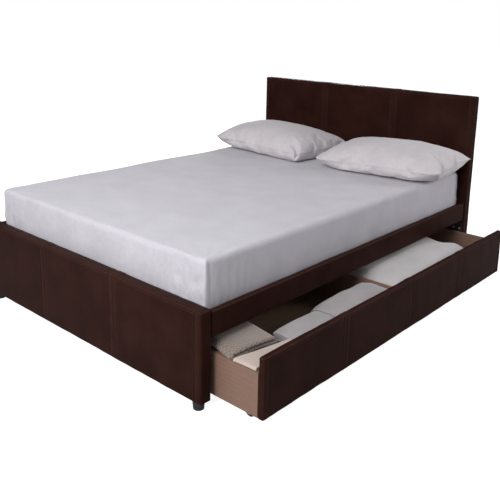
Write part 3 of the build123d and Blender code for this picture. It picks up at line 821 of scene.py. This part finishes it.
def tube(name, line, radius, sides=6):
    """A round cord along a closed line of points."""
    ahead = np.roll(line, -1, 0) - np.roll(line, 1, 0)
    ahead /= np.linalg.norm(ahead, axis=1, keepdims=True)
    side = np.cross(ahead, (0, 0, 1))
    side /= np.linalg.norm(side, axis=1, keepdims=True)
    up = np.cross(side, ahead)
    turns = np.arange(sides) * 2 * np.pi / sides
    rings = [line + radius * (side * math.cos(a) + up * math.sin(a)) for a in turns]
    count = len(line)
    number = np.arange(sides * count).reshape(sides, count)
    onward = np.roll(number, -1, 1)
    corners = (number, onward, np.roll(onward, -1, 0), np.roll(number, -1, 0))
    return make_object(name, np.concatenate(rings), np.stack(corners, -1).reshape(-1, 4))


def smoothed(obj):
    """One round of subdivision, applied."""
    obj.modifiers.new("smooth", "SUBSURF").levels = 1
    mesh = bpy.data.meshes.new_from_object(obj.evaluated_get(bpy.context.evaluated_depsgraph_get()))
    obj.modifiers.clear()
    obj.data = mesh
    obj.data.shade_smooth()
    return obj


def pillow(name, turn, skew, hem, seed):
    """One pillow in its case.

    turn is how far it is turned on the bed, skew how far its surface tilts while it is filled,
    and hem the side where the case opens.
    """
    start, faces, edge = envelope(*PILLOW_CUT, PILLOW_STEP, PILLOW_START)
    start[:, 2] *= 1 + 0.25 * ripples(start, 0.2, seed, (1, 1, 1))
    filled = inflated(start, faces, skew)
    outward = np.sign(start[:, 2:]) * (0, 0, 1)
    past = hem * start[:, 0] / (PILLOW_CUT[0] / 2) - HEM_PLACE
    rise = HEM_RISE * step_up(past, HEM_WIDTH) - HEM_RISE * bump_at(past, HEM_WIDTH)
    filled += outward * rise[:, None]
    cos, sin = math.cos(turn), math.sin(turn)
    filled[:, :2] = filled[:, :2] @ np.array([[cos, sin], [-sin, cos]])
    lo, hi = (np.array(v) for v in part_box(name))
    hi[2] += PILLOW_PROUD
    low, high = filled.min(0), filled.max(0)
    filled = lo + (filled - low) * (hi - lo) / (high - low)
    case = smoothed(make_object(name + "_case", filled, faces))
    finish_piece(case, "bed_frame", "pillow_cotton", [name])
    seam = tube(name + "_seam", filled[edge], PIPING)
    finish_piece(smoothed(seam), "bed_frame", "pillow_cotton")


pillow("pillow_left", math.radians(-3), 0.02, 1, 3)
pillow("pillow_right", math.radians(4), -0.02, -1, 8)

# ---- folded linen in the open drawer ----

# Grid spacing along a ply, and grid lines round a fold.
FOLD_STEP, FOLD_TURNS = 0.011, 8
# A ply thins towards its rims, in multiples of half its thickness.
RIM_LINES, RIM_ROUND, LEAST_THICKNESS = (0.3, 0.7, 1.2), 1.2, 0.03
SWAY, SWAY_LENGTH = 0.003, 0.11
LAP_PLIES = 2.02


def folded(lo, hi, plies, along, gap, seed, uneven):
    """A strip folded back and forth to fill a box, its plies running along x (0) or y (1).

    Returns its points, its faces, each point's place on the flat strip, and the strip's size.
    """
    chance = np.random.default_rng(seed)
    across = 1 - along
    pitch = (hi[2] - lo[2]) / plies
    half = (pitch - gap) / 2
    ends = (lo[along] + pitch, hi[along] - pitch)
    stops = [ends[k % 2] + (1, -1)[k % 2] * chance.uniform(0, uneven) for k in range(plies + 1)]
    centre, upward, ply_of = [], [], []
    for ply in range(plies):
        way = (1, -1)[ply % 2]
        level = lo[2] + pitch * (ply + 0.5)
        start, end = stops[ply], stops[ply + 1]
        count = max(3, round(abs(end - start) / FOLD_STEP) + 1)
        for place in np.linspace(start, end, count):
            centre.append((place, level))
            upward.append((0, way))
            ply_of.append(ply)
        for turn in np.linspace(0, np.pi, FOLD_TURNS)[1:-1] if ply < plies - 1 else ():
            reach, lift = way * pitch / 2 * math.sin(turn), pitch / 2 * (1 - math.cos(turn))
            centre.append((end + reach, level + lift))
            upward.append((-math.sin(turn), way * math.cos(turn)))
            ply_of.append(ply + turn / np.pi)
    centre, upward, ply_of = np.array(centre), np.array(upward), np.array(ply_of)
    paces = np.linalg.norm(np.diff(centre, axis=0), axis=1)
    travelled = np.concatenate([[0], np.cumsum(paces)])
    width = hi[across] - lo[across] - 2 * uneven
    rims = half * np.array(RIM_LINES)
    deep = np.linspace(0, width, max(4, round(width / FOLD_STEP) + 1))
    deep = np.unique(np.concatenate([deep, rims, width - rims]).round(5))
    points, faces = lattice([np.arange(len(centre)), deep, np.array([-1.0, 1.0])])
    index = points[:, 0].astype(int)
    thin = np.ones(len(points))
    from_side = np.minimum(points[:, 1], width - points[:, 1])
    from_end = np.minimum(travelled[index], travelled[-1] - travelled[index])
    for room in (from_side, from_end):
        share = np.clip(room / (RIM_ROUND * half), 0, 1)
        thin *= np.sqrt(np.clip(1 - (1 - share) ** 2, LEAST_THICKNESS, 1))
    shifts = chance.uniform(0, 2 * uneven, plies + 1)
    drift = np.interp(ply_of, np.arange(plies + 1), shifts)[index]
    flat = centre[index] + upward[index] * (points[:, 2] * half * thin)[:, None]
    flat[:, 0] = lo[along] + hi[along] - flat[:, 0]
    made = np.zeros_like(points)
    made[:, along], made[:, 2] = flat[:, 0], flat[:, 1]
    made[:, across] = lo[across] + points[:, 1] + drift
    cloth = np.stack([travelled[index], points[:, 1], 0 * points[:, 1]], 1)
    if along == 0:
        faces = faces[:, ::-1]
    return made, faces, cloth, (travelled[-1], width)


def shaped(points, lo, hi, sag, waves, seed):
    """The stack's own unevenness: its top settles towards its edges and lies in soft waves."""
    lo, hi = np.array(lo), np.array(hi)
    share = (points - (lo + hi) / 2) / ((hi - lo) / 2)
    rise = (points[:, 2] - lo[2]) / (hi[2] - lo[2])
    edge = np.abs(share[:, 0]) ** 3 + np.abs(share[:, 1]) ** 3
    flat = points * (1, 1, 0)
    points = points.copy()
    points[:, 2] -= rise * (sag * edge + waves * (1 + ripples(flat, 0.14, seed)))
    for axis in (0, 1):
        points[:, axis] += SWAY * ripples(points, SWAY_LENGTH, seed + 1 + axis)
    return points


def turned(points, centre, angle):
    """Turned about an upright line."""
    cos, sin = math.cos(angle), math.sin(angle)
    arm = points[:, :2] - centre
    return np.column_stack([arm @ np.array([[cos, sin], [-sin, cos]]) + centre, points[:, 2]])


def lapped(points, edge, rim, reach):
    """Draws what lies above a drawer side's rim out over it, at the end that looks to -Y."""
    middle = (points[:, 1].min() + points[:, 1].max()) / 2
    share = np.clip((middle - points[:, 1]) / (middle - edge), 0, 1)
    points = points.copy()
    points[:, 1] -= reach * share * (points[:, 2] > rim)
    return points


def linen(name, slot, lo, hi, plies, along, seed, nodes=(), gap=0.0012, sag=0.01, waves=0.002, turn=0.0,
          uneven=0.006, lap=0.0, taper=0.0, material=None):
    """One folded piece of bedding."""
    made, faces, cloth, strip = folded(lo, hi, plies, along, gap, seed, uneven)
    if lap:
        made = lapped(made, lo[1], hi[2] - LAP_PLIES * (hi[2] - lo[2]) / plies, lap)
    made = shaped(made, lo, hi, sag, waves, seed)
    if taper:
        made[:, 0] = hi[0] - (hi[0] - made[:, 0]) * (1 - taper * (made[:, 1] - lo[1]) / (hi[1] - lo[1]))
    if turn:
        made = turned(made, ((lo[0] + hi[0]) / 2, (lo[1] + hi[1]) / 2), turn)
    piece = make_object(name, made, faces)
    set_attribute(piece, "cloth", cloth)
    finish_piece(piece, "drawer_right", slot, nodes, material)


LINEN_LIFT, LINEN_GAP = 0.0005, 0.002
SHEETS_SEAM = 0.27


def drawer_linen():
    """From the foot: a blanket, a towel beside it, two stacks of sheets and a duvet."""
    blanket_low, blanket_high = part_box("stored_blanket")
    sheets_low, sheets_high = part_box("stored_sheets")
    duvet_low, duvet_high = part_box("stored_duvet")
    bottom, front = blanket_low.z + LINEN_LIFT, blanket_high.x - LINEN_GAP
    seam = sheets_low.y + SHEETS_SEAM
    low = (blanket_low.x - 0.014, blanket_low.y + 0.024, bottom)
    high = (blanket_high.x - 0.097, blanket_high.y - 0.024, blanket_high.z + 0.014)
    linen("folded_blanket", "grey_blanket", low, high, 10, 1, 4, ["stored_blanket"],
          turn=-0.17, sag=0.003, waves=0.0008, uneven=0.004, lap=0.031)
    low = (front - 0.108, blanket_low.y + 0.001, bottom)
    high = (front, blanket_high.y, blanket_high.z - 0.004)
    linen("folded_towel", "cream_linen", low, high, 20, 1, 6,
          sag=0.001, waves=0.0006, uneven=0.003, lap=0.022, taper=0.47, material=CREAM)
    low = (sheets_low.x + 0.035, sheets_low.y, bottom)
    high = (front, seam, sheets_high.z + 0.006)
    linen("folded_sheet_1", "cream_linen", low, high, 16, 0, 11, ["stored_sheets"])
    low = (sheets_low.x, seam + LINEN_GAP, bottom)
    high = (front, sheets_high.y, sheets_high.z + 0.016)
    linen("folded_sheet_2", "cream_linen", low, high, 17, 0, 12, sag=0.02, waves=0.004)
    low = (duvet_low.x, duvet_low.y + LINEN_GAP, bottom)
    high = (front, duvet_high.y, duvet_high.z + 0.01)
    linen("folded_duvet", "white_linen", low, high, 4, 1, 14, ["stored_duvet"],
          gap=0.001, sag=0.024, waves=0.006)


drawer_linen()

# ---- stage, light ----

FLOOR_HALF, FLOOR_GLOW = 30, 0.92
SKY_COLOUR, SKY_STRENGTH = (0.94, 0.96, 1, 1), 0.25
# Place, target, size in metres and power in watts.
LIGHTS = {
    "key": ((1.05, -3.9, 2.5), (0.2, -0.6, 0.3), 1.8, 118),
    "overhead": ((0.0, -2.3, 2.7), (0.0, -1.0, 0), 2.0, 36),
    "back": ((-2.8, 4.0, 1.0), (-0.5, 0.9, 0.4), 1.6, 62),
    "side": ((3.2, 2.7, 1.9), (0.7, 0.8, 0.4), 1.6, 58),
}


def add_area_light(name, place, target, size, power):
    light = bpy.data.lights.new(name, "AREA")
    light.size = size
    light.energy = power
    made = bpy.data.objects.new(name, light)
    made.location = place
    made.rotation_euler = (Vector(target) - Vector(place)).to_track_quat("-Z", "Y").to_euler()
    scene.collection.objects.link(made)


def add_stage():
    floor = make_object("floor", level_square(FLOOR_HALF), [(0, 1, 2, 3)])
    material, tree, shader = new_material("floor")
    shade = noise_of(tree, place_of(tree), 3.0)
    tree.links.new(mix_of(tree, shade, (0.5, 0.5, 0.5), (0.54, 0.54, 0.54)), shader.inputs["Base Color"])
    shader.inputs["Roughness"].default_value = 0.9
    shader.inputs["Specular IOR Level"].default_value = 0.1
    seen = put(tree, "ShaderNodeLightPath").outputs["Is Camera Ray"]
    glow = put(tree, "ShaderNodeEmission", {"Color": (1, 1, 1, 1), "Strength": FLOOR_GLOW})
    lit = put(tree, "ShaderNodeAddShader", {0: shader.outputs[0], 1: glow.outputs[0]})
    both = put(tree, "ShaderNodeMixShader", {0: seen, 1: shader.outputs[0], 2: lit.outputs[0]})
    tree.links.new(both.outputs[0], tree.nodes["Material Output"].inputs["Surface"])
    floor.data.materials.append(material)
    world = bpy.data.worlds.new("studio")
    world.use_nodes = True
    tree = world.node_tree
    seen = put(tree, "ShaderNodeLightPath").outputs["Is Camera Ray"]
    soft = put(tree, "ShaderNodeBackground", {"Color": SKY_COLOUR, "Strength": SKY_STRENGTH})
    plain = put(tree, "ShaderNodeBackground", {"Color": (1, 1, 1, 1), "Strength": 1.0})
    both = put(tree, "ShaderNodeMixShader", {0: seen, 1: soft.outputs[0], 2: plain.outputs[0]})
    tree.links.new(both.outputs[0], tree.nodes["World Output"].inputs["Surface"])
    scene.world = world
    scene.view_settings.view_transform = "Standard"
    for name, facts in LIGHTS.items():
        add_area_light(name, *facts)


add_stage()
